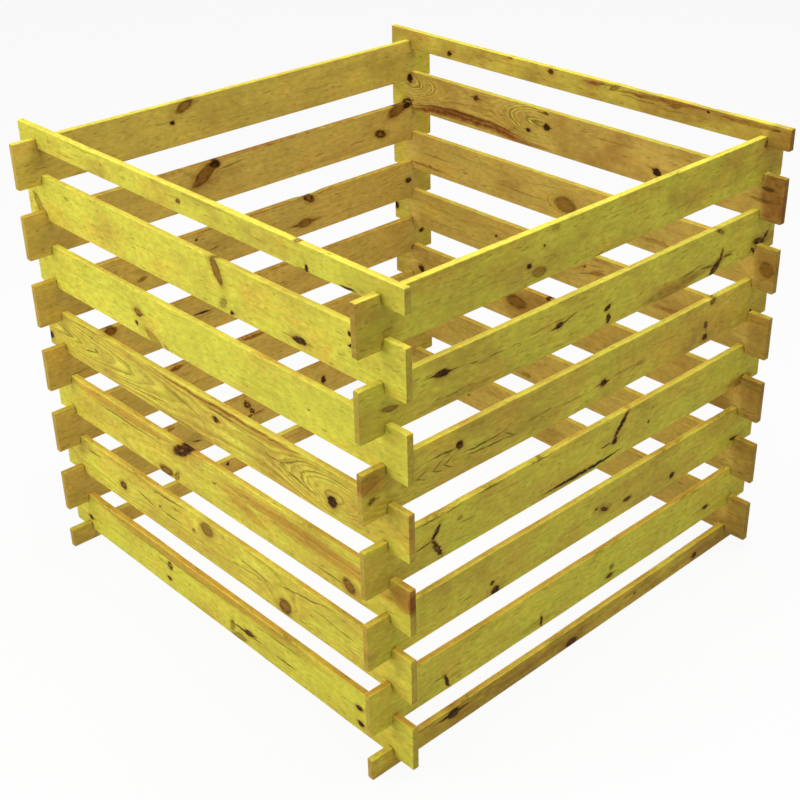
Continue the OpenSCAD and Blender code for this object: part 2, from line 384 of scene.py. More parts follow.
        check(-70, 40, 24, -14, 1.8, 0.65), check(-88, 62, 20, -5, 1.6), check(-105, 56, 20, -12, 1.4),
        knot(-66, 54, 4, 2.5, -30, 0.6, 0.7), stain_and_shade(-310, 30, 66, -4, 9, 0.6),
        # The wide stain at -484 is painted shade over the end that stands out past the right wall
        stain_and_shade(-484, 45, 32, 0, 95, 0.32), stain_and_shade(60, 50, 260, 1, 16, 0.16), check(60, 40, 80, 1, 1.3, 0.3),
        check(320, 26, 80, -1, 1.3, 0.3),
    ],
    "back_board_3": [
        knot(414, 32, 9, 8, 0, 0.88, 0.95), knot(117, 46, 28, 15, 0, 0.72, 0.25), knot(28, 84, 6, 5),
        # The wide stain at -484 is painted shade over the end that stands out past the right wall
        stain_and_shade(-484, 45, 32, 0, 95, 0.32), stain_and_shade(100, 60, 280, 1, 18, 0.22),
        check(260, 30, 80, -1, 1.3, 0.3),
    ],
    "back_board_2": [
        # The wide stain at -484 is painted shade over the end that stands out past the right wall
        knot(84, 14, 13, 5, 0, 0.5, 0.15), knot(-220, 40, 6, 5, 0, 0.8), stain_and_shade(-484, 45, 32, 0, 95, 0.32),
        stain_and_shade(200, 50, 260, 1, 16, 0.16), check(100, 50, 90, 1, 1.3, 0.3),
    ],
    "back_board_1": [
        # The wide stain at -484 is painted shade over the end that stands out past the right wall
        knot(-120, 60, 6, 5, 0, 0.8), knot(260, 30, 5, 4, 0, 0.7), stain_and_shade(-484, 45, 32, 0, 95, 0.32),
        check(40, 40, 90, 1, 1.3, 0.3),
    ],
}

# Where the top edge still shows the round of the log
WANES = {
    "right_board_3": [wane(-350, 60, 4.0), wane(-230, 50, 2.4), wane(-120, 40, 2.0)],
    "right_board_2": [wane(250, 70, 1.6), wane(400, 50, 2.0), wane(-360, 50, 1.4)],
    "right_board_1": [wane(-260, 50, 1.6), wane(60, 60, 1.8), wane(300, 60, 2.0)],
    "front_board_1": [wane(-380, 50, 1.6), wane(200, 50, 1.0)],
    "front_board_2": [wane(-250, 60, 1.2)],
    "front_board_3": [wane(-75, 40, 2.0), wane(260, 50, 1.2)],
    "left_board_4": [wane(-150, 40, 2.0)],
    "back_top_half_board": [wane(-190, 50, 1.4), wane(-330, 60, 1.6)],
    "right_board_6": [wane(190, 26, 1.2), wane(-60, 22, 1.0)],
    "right_ground_half_board": [wane(-60, 40, 1.2), wane(-300, 50, 1.4)],
}

# Timber of one board, from 0 to 1: how green, how brown, how strongly figured, how much painted warm shade
# turns its top edge golden, and how much painted shade browns its inner face
TIMBERS = {
    "front_top_half_board": Timber(0.85, 0.08, 0.10, 0.0),
    "front_board_6": Timber(0.72, 0.0, 0.06, 0.2),
    "front_board_5": Timber(0.88, 0.0, 0.08, 0.15),
    "front_board_4": Timber(0.46, 0.08, 0.6, 0.35),
    "front_board_3": Timber(0.56, 0.05, 0.22, 0.5),
    "front_board_2": Timber(0.55, 0.03, 0.4, 0.45),
    "front_board_1": Timber(0.74, 0.0, 0.18, 0.85),
    "right_board_6": Timber(0.6, 0.12, 0.06, 0.0),
    "right_board_5": Timber(0.62, 0.04, 0.10, 0.2),
    "right_board_4": Timber(0.42, 0.1, 0.22, 0.3),
    "right_board_3": Timber(0.6, 0.02, 0.12, 0.3),
    "right_board_2": Timber(0.58, 0.06, 0.12, 0.4),
    "right_board_1": Timber(0.7, 0.0, 0.10, 0.75),
    "right_ground_half_board": Timber(0.3, 0.2, 0.2, 0.5),
    "left_board_6": Timber(0.6, 0.05, 0.08, 0.1, 0.65),
    "left_board_5": Timber(0.5, -0.04, 0.12, 0.6),
    "left_board_4": Timber(0.4, -0.02, 0.15, 0.5),
    "left_board_3": Timber(0.4, -0.02, 0.15, 0.6),
    "left_board_2": Timber(0.4, -0.06, 0.15, 0.6),
    "left_board_1": Timber(0.45, -0.04, 0.15, 0.6),
    "back_top_half_board": Timber(0.75, 0.28, 0.12, 0.0, 0.35),
    "back_board_6": Timber(0.45, 0.18, 0.25, 0.2),
    "back_board_5": Timber(0.55, 0.05, 0.12, 0.5),
    "back_board_4": Timber(0.5, 0.08, 0.2, 0.4),
    "back_board_3": Timber(0.45, 0.2, 0.25, 0.5),
}

# How the figured boards lay in their logs
GROWTHS = {
    "front_board_4": growth(42, 46, 0, 200, -0.094, 5.2, -60, 480),
    "front_board_2": growth(60, 60, 0.02, 0, 0.03, 5.5, -60, 420),
    "front_board_3": growth(70, 20, -0.015, 0, 0.02, 5.5, 60, 420),
    "right_board_4": growth(2, 33, 0, -180, 0.31, 4.4, -300, 260),
    "back_board_6": growth(-46, 58, 0.01, 0, 0.02, 5.0, 250, 215),
    "back_board_5": growth(-52, 36, 0.0, 0, 0.06, 4.5, 80, 360),
}

# Noise in the wood: its fineness along, through and up the board, per metre, and its detail and roughness
NOISES = {
    "sway": ((7, 18, 18), 3, 0.5),
    "ragged": ((60, 150, 230), 3, 0.6),
    "wander": ((30, 1, 1), 4, 0.6),
    "clouds": ((10, 15, 15), 3, 0.55),
    "fibres": ((30, 420, 420), 2, 0.5),
    "mottle": ((70, 135, 135), 4, 0.65),
    "flecks": ((48, 260, 260), 1, 0.5),
}
# How far the noise moves the growth rings, the outlines of knots and the streaks
SWAY = 13 * MM
RAGGEDNESS = (12 * MM, 0.0, 6 * MM)
WANDER = 10 * MM
# How far a branch rises along the board for each length through it
BRANCH_RISE = 0.2
# Place in a growth ring, and how much latewood and earlywood is there
SEASONS = ((0.0, 0.3, 1.0), (1.0, 0.7, 0.6), (0.06, 0.0, 1.0), (0.3, 0.0, 0.7), (0.44, 0.0, 0.0),
           (0.6, 0.45, 0.0), (0.72, 1.0, 0.0), (0.93, 1.0, 0.0))
# Colour that end grain is multiplied by
END_GRAIN = (0.75, 0.66, 0.8)
# Depth of the scores that the fibres leave in a planed face
FIBRE_RELIEF = 0.25 * MM
# Settings of a range that starts and ends softly, and of a mix of colours
SOFT = {"interpolation_type": "SMOOTHSTEP"}
COLOURS = {"data_type": "RGBA"}


class BinTimberSettings(bpy.types.PropertyGroup):
    """Sizes and colours of the boards."""

    notch_play: FloatProperty(
        name="Notch play", description="Room beside a crossing board in its notch, both sides together",
        default=1.5 * MM, unit="LENGTH")
    arris: FloatProperty(
        name="Eased edge", description="Radius of the eased edges of a board",
        default=1.3 * MM, unit="LENGTH")
    bow: FloatProperty(
        name="Bow", description="Most that a board bends out of straight between its notches",
        default=1.6 * MM, unit="LENGTH")
    station: FloatProperty(
        name="Mesh spacing", description="Distance between mesh points along a board",
        default=6 * MM, unit="LENGTH")
    green_sapwood: FloatVectorProperty(
        name="Green sapwood", description="Sapwood with the green tint of the pressure treatment",
        default=linear("#D7D148"), subtype="COLOR")
    gold_sapwood: FloatVectorProperty(
        name="Golden sapwood", description="Sapwood where the yellow of the pine shows through",
        default=linear("#CEAB43"), subtype="COLOR")
    # Painted shade: a browner, warmer tint on the inner faces that stands in for the shade and warm bounce
    # light inside the bin
    inner_shade_tint: FloatVectorProperty(
        name="Inner face", description="The browner wood on the inside of the bin",
        default=linear("#CFAF57"), subtype="COLOR")
    heartwood: FloatVectorProperty(
        name="Heartwood", description="Brown heartwood that takes little of the treatment",
        default=linear("#A98238"), subtype="COLOR")
    warm_wood: FloatVectorProperty(
        name="Warm wood", description="Orange, resin-rich blotches",
        default=linear("#D0902E"), subtype="COLOR")
    # Also the colour of the painted highlight along the arrises of the top edges
    earlywood_and_highlight: FloatVectorProperty(
        name="Earlywood", description="The pale part of each growth ring",
        default=linear("#EAE45A"), subtype="COLOR")
    latewood: FloatVectorProperty(
        name="Latewood", description="The dark part of each growth ring",
        default=linear("#7A6416"), subtype="COLOR")
    tan_band: FloatVectorProperty(
        name="Tan band", description="Slow-grown tan bands in the sapwood", default=linear("#BE9236"),
        subtype="COLOR")
    # Also the colour of the painted shade and painted shadows that are laid as stains
    resin_stain_and_shade: FloatVectorProperty(
        name="Resin stain", description="Red-brown bands of resin and bark",
        default=linear("#86491C"), subtype="COLOR")
    knot_heart: FloatVectorProperty(
        name="Knot", description="The wood of a live knot", default=linear("#7C5018"), subtype="COLOR")
    knot_rim: FloatVectorProperty(
        name="Knot rim", description="Bark and resin round a knot",
        default=linear("#331D04"), subtype="COLOR")
    knot_halo: FloatVectorProperty(
        name="Knot halo", description="Resin-stained wood round a knot",
        default=linear("#A67A28"), subtype="COLOR")
    sawn_pale: FloatVectorProperty(
        name="Sawn edge", description="Sawn top edges", default=linear("#DED24E"), subtype="COLOR")
    # Also painted warm shade: the gold laid on the inner half of the top edges and on the boards that take
    # more of it
    sawn_gold_and_shade: FloatVectorProperty(
        name="Golden sawn edge", description="Sawn top edges where the gold of the pine shows",
        default=linear("#CC9A3A"), subtype="COLOR")
    crack: FloatVectorProperty(
        name="Check", description="The dark inside of a drying check", default=linear("#3A2606"),
        subtype="COLOR")


class BinStudioSettings(bpy.types.PropertyGroup):
    """The camera, the lamps and the floor."""

    azimuth: FloatProperty(
        name="Azimuth", description="Direction that the camera looks from, round the bin",
        default=math.radians(46.78), subtype="ANGLE")
    elevation: FloatProperty(
        name="Elevation", description="Height of the camera over the horizon",
        default=math.radians(28.47), subtype="ANGLE")
    roll: FloatProperty(
        name="Roll", description="Lean of the camera", default=math.radians(-0.79), subtype="ANGLE")
    eye: FloatVectorProperty(
        name="Camera place", description="Where the camera stands", default=(1.7123, -1.5687, 1.6333),
        unit="LENGTH")
    lens: FloatProperty(
        name="Focal length", description="Focal length on a 36 mm wide sensor", default=62.69)
    shift_x: FloatProperty(name="Shift across", description="Sideways shift of the lens", default=-0.0242)
    shift_y: FloatProperty(name="Shift up", description="Upward shift of the lens", default=-0.0327)
    floor: FloatVectorProperty(
        name="Floor", description="Pale floor paint", default=linear("#E6E6E6"), subtype="COLOR")
    sky: FloatProperty(
        name="Sky", description="Strength of the even light from all round", default=0.24)
    key_power: FloatProperty(
        name="Key lamp", description="Power of the large soft lamp before the front wall",
        default=72.0, subtype="POWER")
    top_power: FloatProperty(
        name="Top lamp", description="Power of the large soft lamp overhead",
        default=109.0, subtype="POWER")


def add_node(tree, kind, given=None):
    """Adds a shader node. Its kind may be followed by its operation.

    What is given goes to a property by its name, or to a socket by its name or number, as a value or as a
    link from a socket or node. A node is linked from the first of its outputs that is in use.
    """
    kind, _, operation = kind.partition(" ")
    node = tree.nodes.new("ShaderNode" + kind)
    if operation:
        node.operation = operation
    for key, value in (given or {}).items():
        if isinstance(value, bpy.types.Node):
            value = next(socket for socket in value.outputs if socket.enabled)
        if isinstance(value, bpy.types.NodeSocket):
            tree.links.new(value, node.inputs[key])
        elif isinstance(key, str) and key in node.bl_rna.properties:
            setattr(node, key, value)
        else:
            node.inputs[key].default_value = value
    return node


def empty_tree(owner):
    """Empties the nodes of a material or world, and returns what adds a node to them."""
    owner.use_nodes = True
    owner.node_tree.nodes.clear()
    return partial(add_node, owner.node_tree)


def node_group(name, inputs, outputs, fill):
    """The shader node group of this name, made when it's first asked for.

    Inputs and outputs give the kind of each socket. Fill takes what adds a node and the sockets to start
    from, and returns the node for each output.
    """
    if name in bpy.data.node_groups:
        return bpy.data.node_groups[name]
    group = bpy.data.node_groups.new(name, "ShaderNodeTree")
    for side, sockets in (("INPUT", inputs), ("OUTPUT", outputs)):
        for socket, kind in sockets.items():
            group.interface.new_socket(socket, in_out=side, socket_type="NodeSocket" + kind)
    source, result = group.nodes.new("NodeGroupInput"), group.nodes.new("NodeGroupOutput")
    for socket, node in zip(result.inputs, fill(partial(add_node, group), source.outputs)):
        group.links.new(node.outputs[0], socket)
    return group


def fill_knot(add, source):
    """Nodes that add one knot to the growth of a board.

    It pushes the growth rings round itself and adds to the marks: its own wood, what is near black in it
    and the stained wood beside it.
    """
    place = add("SeparateXYZ", {0: source["Place"]})
    shape = add("SeparateXYZ", {0: source["Shape"]})
    offset = add("VectorMath SUBTRACT", {0: source["Point"], 1: source["Place"]})
    per_radius = add("Math DIVIDE", {0: 1.0, 1: place.outputs[2]})
    in_radii = add("VectorMath SCALE", {0: offset, "Scale": per_radius})
    turned = add("VectorRotate", {"rotation_type": "Z_AXIS", "Vector": in_radii, "Angle": shape.outputs[0]})
    squeeze = add("CombineXYZ", {0: shape.outputs[1], 1: 1.0})
    flat = add("VectorMath MULTIPLY", {0: turned, 1: squeeze})
    body = add("VectorMath LENGTH", {0: flat})
    either_side = add("VectorMath ABSOLUTE", {0: flat})
    wing_reach = add("CombineXYZ", {0: shape.outputs[2], 1: 2.2})
    wing = add("VectorMath DOT_PRODUCT", {0: either_side, 1: wing_reach})
    share = add("Math MINIMUM", {0: body, 1: wing})
    # The knot ends softly; what is near black in it starts further in, the deader the knot is
    inside = add("MapRange", {**SOFT, 0: share, 1: 1.3, 2: 0.75})
    past_heart = add("Math SUBTRACT", {0: share, 1: source["Heart"]})
    shell = add("MapRange", {**SOFT, 0: past_heart, 1: -0.2, 2: 0.12})
    black = add("Math MULTIPLY", {0: inside, 1: shell})
    halo = add("MapRange", {**SOFT, 0: share, 1: 2.3, 2: 0.9, 4: 0.5})
    zones = add("CombineXYZ", {0: inside, 1: black, 2: halo})
    mark = add("VectorMath MULTIPLY", {0: zones, 1: source["Strength"]})
    marks = add("VectorMath MAXIMUM", {0: source["Marks"], 1: mark})
    # Rings swell over a knot, further along the grain than across it
    drawn = add("VectorMath MULTIPLY", {0: in_radii, 1: (0.30, 0.62, 0.0)})
    square = add("VectorMath DOT_PRODUCT", {0: drawn, 1: drawn})
    swell = add("Math POWER", {0: math.exp(-1), 1: square})
    age = add("Math MULTIPLY_ADD", {0: swell, 1: source["Push"], 2: source["Age"]})
    return age, marks


def fill_streak(add, source):
    """Nodes that add one streak along the grain, pointed at both ends: a check, a stain or a band."""
    place = add("SeparateXYZ", {0: source["Place"]})
    shape = add("SeparateXYZ", {0: source["Shape"]})
    offset = add("VectorMath SUBTRACT", {0: source["Point"], 1: source["Place"]})
    along, up, _ = add("SeparateXYZ", {0: offset}).outputs
    lean = add("Math MULTIPLY_ADD", {0: along, 1: shape.outputs[1], 2: shape.outputs[0]})
    rise = add("Math MULTIPLY_ADD", {0: along, 1: lean, 2: source["Wander"]})
    level = add("Math SUBTRACT", {0: up, 1: rise})
    gap = add("Math ABSOLUTE", {0: level})
    across = add("Math DIVIDE", {0: gap, 1: shape.outputs[2]})
    run = add("Math DIVIDE", {0: along, 1: place.outputs[2]})
    spent = add("Math MULTIPLY", {0: run, 1: run})
    both = add("Math ADD", {0: across, 1: spent})
    dark = add("MapRange", {**SOFT, 0: both, 1: 1.15, 2: 0.45})
    toned = add("Math MULTIPLY", {0: dark, 1: source["Strength"]})
    return [add("Math MAXIMUM", {0: source["Dark"], 1: toned})]


def treated_pine(timber, name, height):
    """Pressure-treated pine, planed: satin yellow sapwood with a green tint and a board's own marks."""
    material = bpy.data.materials.new("treated_pine_planed_" + name)
    add = empty_tree(material)
    tone, lie = tone_of(name), growth_of(name, height)
    marks_here = MARKS.get(name, [])

    # Where on the board, and where in the pile of timber it was cut from
    point = add("Attribute", {"attribute_name": "board_point"}).outputs["Vector"]
    edges = add("Attribute", {"attribute_name": "board_edges"}).outputs["Vector"]
    along, through, up = add("SeparateXYZ", {0: point}).outputs
    on_top, on_wane, _ = add("SeparateXYZ", {0: edges}).outputs
    chance = random.Random("timber of " + name)
    lot = [chance.uniform(-20, 20) for _ in range(3)]
    placed = add("VectorMath ADD", {0: point, 1: lot})
    noises = {}
    for use, (fineness, detail, roughness) in NOISES.items():
        scaled = add("VectorMath MULTIPLY", {0: placed, 1: fineness})
        noises[use] = add("TexNoise", {"Scale": 1.0, "Detail": detail, "Roughness": roughness,
                                       "Vector": scaled})
    fibres = noises["fibres"]
    cloud_r, cloud_g, cloud_b = add("SeparateColor", {0: noises["clouds"].outputs[1]}).outputs
    mottle_r, mottle_g, mottle_b = add("SeparateColor", {0: noises["mottle"].outputs[1]}).outputs
    swings = {}
    for use, reach in (("sway", (SWAY, SWAY, SWAY)), ("ragged", RAGGEDNESS)):
        centred = add("VectorMath SUBTRACT", {0: noises[use].outputs[1], 1: (0.5, 0.5, 0.5)})
        swings[use] = add("VectorMath MULTIPLY", {0: centred, 1: reach})

    # Growth: the distance from the pith, which runs askew to the board, bends away from it and wanders
    past_turn = add("Math SUBTRACT", {0: along, 1: lie.turn})
    bending = add("Math MULTIPLY_ADD", {0: past_turn, 1: lie.curve, 2: lie.slope})
    drift = add("Math MULTIPLY_ADD", {0: past_turn, 1: bending, 2: lie.depth})
    pith_here = add("CombineXYZ", {1: drift, 2: lie.height})
    across_grain = add("VectorMath MULTIPLY", {0: point, 1: (0.0, 1.0, 1.0)})
    from_pith = add("VectorMath SUBTRACT", {0: across_grain, 1: pith_here})
    swayed = add("VectorMath ADD", {0: from_pith, 1: swings["sway"]})
    clear_age = add("VectorMath LENGTH", {0: swayed})

    # Knots: a branch rises as it leaves the pith, so a knot lies further along on the inner face
    ragged_point = add("VectorMath ADD", {0: point, 1: swings["ragged"]})
    ragged_x, ragged_y, ragged_z = add("SeparateXYZ", {0: ragged_point}).outputs
    branch_lean = add("Math MULTIPLY_ADD", {0: ragged_y, 1: -BRANCH_RISE, 2: ragged_x})
    knot_point = add("CombineXYZ", {0: branch_lean, 1: ragged_z})
    knots = node_group("Pine knot", {
        "Point": "Vector", "Place": "Vector", "Shape": "Vector", "Heart": "Float", "Push": "Float",
        "Strength": "Vector", "Age": "Float", "Marks": "Vector",
    }, {"Age": "Float", "Marks": "Vector"}, fill_knot)
    marks = add("CombineXYZ")
    age = clear_age
    for mark in [mark for mark in marks_here if isinstance(mark, Knot)]:
        wing = mark.half_length / (mark.wing or 0.1 * MM)
        black = mark.darkness * (0.5 + 0.5 * mark.dead)
        age, marks = add("Group", {
            "node_tree": knots, "Point": knot_point, "Place": (mark.x, mark.z, mark.half_width),
            "Shape": (-mark.angle, mark.half_width / mark.half_length, wing),
            "Heart": 0.85 * (1 - mark.dead), "Push": -1.5 * mark.push * mark.half_width,
            "Strength": (mark.darkness, black, mark.darkness), "Age": age, "Marks": marks,
        }).outputs
    knot_wood, knot_dark, knot_halo = add("SeparateXYZ", {0: marks}).outputs

    # Checks, stains and tan bands, which wander a little across the grain
    flat_point = add("CombineXYZ", {0: along, 1: up})
    wander_centred = add("Math SUBTRACT", {0: noises["wander"], 1: 0.5})
    wander = add("Math MULTIPLY", {0: wander_centred, 1: WANDER})
    streaks = node_group("Streak along the grain", {
        "Point": "Vector", "Wander": "Float", "Place": "Vector", "Shape": "Vector", "Strength": "Float",
        "Dark": "Float",
    }, {"Dark": "Float"}, fill_streak)
    shares = {}
    for kind in ("check", "stain_and_shade", "band"):
        share = add("Value")
        for mark in [mark for mark in marks_here if isinstance(mark, Streak) and mark.kind == kind]:
            share = add("Group", {
                "node_tree": streaks, "Point": flat_point, "Wander": wander,
                "Place": (mark.x, mark.z, mark.half_length),
                "Shape": (math.tan(mark.angle), mark.curve, mark.half_width),
                "Strength": mark.strength, "Dark": share,
            })
        shares[kind] = share

    # Growth rings: a bright line of earlywood, then latewood that darkens slowly and ends sharply
    years = add("Math DIVIDE", {0: age, 1: lie.ring})
    weather = add("TexNoise", {"noise_dimensions": "1D", "Scale": 0.5, "Detail": 1.0, "W": years})
    uneven = add("Math MULTIPLY_ADD", {0: weather, 1: 1.6, 2: years})
    season = add("Math FRACT", {0: uneven})
    year = add("Math FLOOR", {0: uneven})
    seasons = add("ValToRGB", {0: season})
    ramp = seasons.color_ramp
    for index, (position, late, early) in enumerate(SEASONS):
        stop = ramp.elements[index] if index < 2 else ramp.elements.new(position)
        stop.position = position
        stop.color = (late, early, 0.0, 1.0)
    late, early, _ = add("SeparateColor", {0: seasons}).outputs

    # The figure shows in patches, within its reach, and most where the rings bend round a knot. Some years
    # leave a strong line and most leave hardly any.
    harvest = add("TexWhiteNoise", {"noise_dimensions": "1D", "W": year})
    vigour = add("MapRange", {0: harvest, 1: 0.3, 2: 0.9, 3: 0.12})
    off_centre = add("Math SUBTRACT", {0: along, 1: lie.centre})
    from_centre = add("Math ABSOLUTE", {0: off_centre})
    window = add("MapRange", {**SOFT, 0: from_centre, 1: 1.15 * lie.reach, 2: 0.75 * lie.reach})
    clear_figure = add("MapRange", {0: cloud_b, 1: 0.36, 2: 0.54, 3: 0.45 * tone.figure, 4: tone.figure})
    bent = add("Math SUBTRACT", {0: clear_age, 1: age})
    bent_share = add("MapRange", {**SOFT, 0: bent, 1: 4 * MM, 2: 24 * MM, 4: 0.7})
    strongest = add("Math MAXIMUM", {0: clear_figure, 1: bent_share})
    figure = add("Math MULTIPLY", {0: strongest, 1: window})
    vigorous = add("Math MULTIPLY", {0: figure, 1: vigour})
    late_broken = add("MapRange", {0: mottle_r, 1: 0.32, 2: 0.5, 3: 0.6})
    late_level = add("Math MULTIPLY", {0: late, 1: vigorous})
    late_share = add("Math MULTIPLY", {0: late_level, 1: late_broken})
    early_level = add("Math MULTIPLY", {0: early, 1: vigorous})
    early_share = add("Math MULTIPLY", {0: early_level, 1: 0.9})

    # Green and golden sapwood
    green_level = add("Math MULTIPLY_ADD", {0: cloud_r, 1: 1.4, 2: tone.green})
    green_fine = add("Math MULTIPLY_ADD", {0: mottle_r, 1: 0.9, 2: green_level})
    green = add("MapRange", {**SOFT, 0: green_fine, 1: 1.15, 2: 2.15})

    # Painted shade: the inside of the bin gets a browner, warmer tint in place of the shade and warm bounce
    # light there, but the ends at the corner between the left and back walls, which stand out in the light,
    # get little of it
    inside_face = add("MapRange", {**SOFT, 0: through, 1: 3.5 * MM, 2: 5.5 * MM, 4: tone.inner})
    below_top = add("Math SUBTRACT", {"use_clamp": True, 0: 1.0, 1: on_top})
    inside_below = add("Math MULTIPLY", {0: inside_face, 1: below_top})
    far_end = 1 if name.startswith("back") else -1
    towards_far = add("Math MULTIPLY", {0: along, 1: far_end})
    out_of_light = add("MapRange", {**SOFT, 0: towards_far, 1: NOTCH_CENTRE + 14 * MM,
                                 2: NOTCH_CENTRE + 4 * MM, 3: 0.1})
    inside = add("Math MULTIPLY", {0: inside_below, 1: out_of_light})

    # Brown heartwood in drifts, and orange resin-rich blotches
    brown_level = add("Math ADD", {0: cloud_g, 1: tone.brown})
    brown = add("MapRange", {**SOFT, 0: brown_level, 1: 0.50, 2: 0.95, 4: 0.85})
    blotch_level = add("Math MULTIPLY_ADD", {0: mottle_g, 1: 0.6, 2: cloud_b})
    blotches = add("MapRange", {**SOFT, 0: blotch_level, 1: 0.86, 2: 1.08, 4: 0.28})
    wood = add("Mix", {**COLOURS, 0: green, 6: (*timber.gold_sapwood, 1), 7: (*timber.green_sapwood, 1)})
    # The inner tint is painted shade; heartwood, warm wood, tan bands and growth rings are the wood's own
    # colours
    for colour, share in ((timber.inner_shade_tint, inside), (timber.heartwood, brown),
                          (timber.warm_wood, blotches), (timber.tan_band, shares["band"]),
                          (timber.earlywood_and_highlight, early_share), (timber.latewood, late_share)):
        wood = add("Mix", {**COLOURS, 0: share, 6: wood, 7: (*colour, 1)})

    # Sawn top edges are paler with golden drifts; painted warm shade makes them more golden on their inner
    # half and on the boards that take more of it, and painted highlights make them bright at arrises
    inner_half_shade = add("MapRange", {**SOFT, 0: through, 1: -4 * MM, 2: 4 * MM, 3: -0.1, 4: 0.25})
    gold_level = add("Math MULTIPLY_ADD", {0: cloud_g, 1: 1.8, 2: tone.warm_edge})
    gold_drift = add("Math ADD", {0: gold_level, 1: inner_half_shade})
    gold_and_shade_share = add("MapRange", {**SOFT, 0: gold_drift, 1: 0.9, 2: 1.9})
    sawn = add("Mix", {**COLOURS, 0: gold_and_shade_share, 6: (*timber.sawn_pale, 1), 7: (*timber.sawn_gold_and_shade, 1)})
    # Painted highlight: bright lines of the earlywood colour along both arrises of the top edge
    from_middle = add("Math ABSOLUTE", {0: through})
    arris_highlight = add("MapRange", {**SOFT, 0: from_middle, 1: THICKNESS / 2 - 2.2 * MM,
                                   2: THICKNESS / 2 - 1.0 * MM, 4: 0.5})
    sawn_highlighted = add("Mix", {**COLOURS, 0: arris_highlight, 6: sawn, 7: (*timber.earlywood_and_highlight, 1)})
    top_share = add("Math MULTIPLY", {0: on_top, 1: 0.85})
    wood = add("Mix", {**COLOURS, 0: top_share, 6: wood, 7: sawn_highlighted})

    # Resin and bark stains, and the painted shade and shadows laid as stains; wane is darker still
    stain_and_shade_fibres = add("MapRange", {0: fibres, 1: 0.3, 2: 0.7, 3: 0.8})
    stain_and_shade_mottle = add("MapRange", {0: mottle_g, 1: 0.35, 2: 0.6, 3: 0.7, 4: 1.15})
    stain_and_shade_patch = add("Math MULTIPLY", {0: stain_and_shade_fibres, 1: stain_and_shade_mottle})
    stain_and_shade_share = add("Math MULTIPLY", {"use_clamp": True, 0: shares["stain_and_shade"], 1: stain_and_shade_patch})
    wane_patch = add("MapRange", {0: mottle_b, 1: 0.42, 2: 0.62, 4: 0.8})
    wane_share = add("Math MULTIPLY", {0: on_wane, 1: wane_patch})
    for colour, share in ((timber.resin_stain_and_shade, stain_and_shade_share), (timber.latewood, wane_share)):
        wood = add("Mix", {**COLOURS, 0: share, 6: wood, 7: (*colour, 1)})

    # Fibres, mottle, soft shading and short dark flecks along the grain
    for source, limits in ((fibres, {1: 0.3, 2: 0.7, 3: 0.96, 4: 1.04}),
                           (mottle_b, {1: 0.3, 2: 0.7, 3: 0.86, 4: 1.15}),
                           (cloud_b, {1: 0.3, 2: 0.7, 3: 0.90, 4: 1.09}),
                           (noises["flecks"], {**SOFT, 1: 0.64, 2: 0.74, 3: 1.0, 4: 0.66})):
        shade = add("MapRange", {**limits, 0: source})
        wood = add("VectorMath SCALE", {0: wood, "Scale": shade})

    # Knots: stained wood round them, then their own wood, then what is near black in it; cracks over all
    heart_tone = add("MapRange", {0: mottle_r, 1: 0.35, 2: 0.65, 3: 0.75, 4: 1.35})
    heart_colour = add("VectorMath SCALE", {0: tuple(timber.knot_heart), "Scale": heart_tone})
    dark_patch = add("MapRange", {0: mottle_b, 1: 0.38, 2: 0.56, 3: -0.55, 4: 0.0})
    dark_share = add("Math MULTIPLY_ADD", {"use_clamp": True, 0: knot_dark, 1: 1.3, 2: dark_patch})
    crack_gaps = add("MapRange", {**SOFT, 0: mottle_g, 1: 0.34, 2: 0.48, 3: 0.5})
    crack_share = add("Math MULTIPLY", {0: shares["check"], 1: crack_gaps})
    wood = add("Mix", {**COLOURS, 0: knot_halo, 6: wood, 7: (*timber.knot_halo, 1)})
    wood = add("Mix", {**COLOURS, 0: knot_wood, 6: wood, 7: heart_colour})
    for colour, share in ((timber.knot_rim, dark_share), (timber.crack, crack_share)):
        wood = add("Mix", {**COLOURS, 0: share, 6: wood, 7: (*colour, 1)})

    # End grain drinks the treatment and is darker and browner
    distance = add("Math ABSOLUTE", {0: along})
    end_share = add("MapRange", {**SOFT, 0: distance, 1: LENGTH / 2 - 1.2 * MM, 2: LENGTH / 2 - 0.2 * MM})
    wood = add("Mix", {**COLOURS, "blend_type": "MULTIPLY", 0: end_share, 6: wood, 7: (*END_GRAIN, 1)})

    # Relief: the planed face is scored by its fibres and a little uneven
    relief = add("Math MULTIPLY_ADD", {0: mottle_b, 1: 0.5, 2: fibres})
    bump = add("Bump", {"Strength": 0.4, "Distance": FIBRE_RELIEF, "Height": relief})
    rough = add("MapRange", {0: fibres, 1: 0.3, 2: 0.7, 3: 0.60, 4: 0.74})
    surface = add("BsdfPrincipled", {"Base Color": wood, "Roughness": rough, "Normal": bump, "IOR": 1.45,
                                     "Specular IOR Level": 0.1})
    add("OutputMaterial", {0: surface})
    return material


def stations(stops, spacing):
    """Positions from the first stop to the last, through every stop, no further apart than spacing."""
    stops = sorted(set(round(stop, 6) for stop in stops))
    found = [stops[0]]
    for low, high in zip(stops, stops[1:]):
        steps = max(1, math.ceil((high - low) / spacing - 1e-6))
        found += [low + (high - low) * (step + 1) / steps for step in range(steps)]
    return found


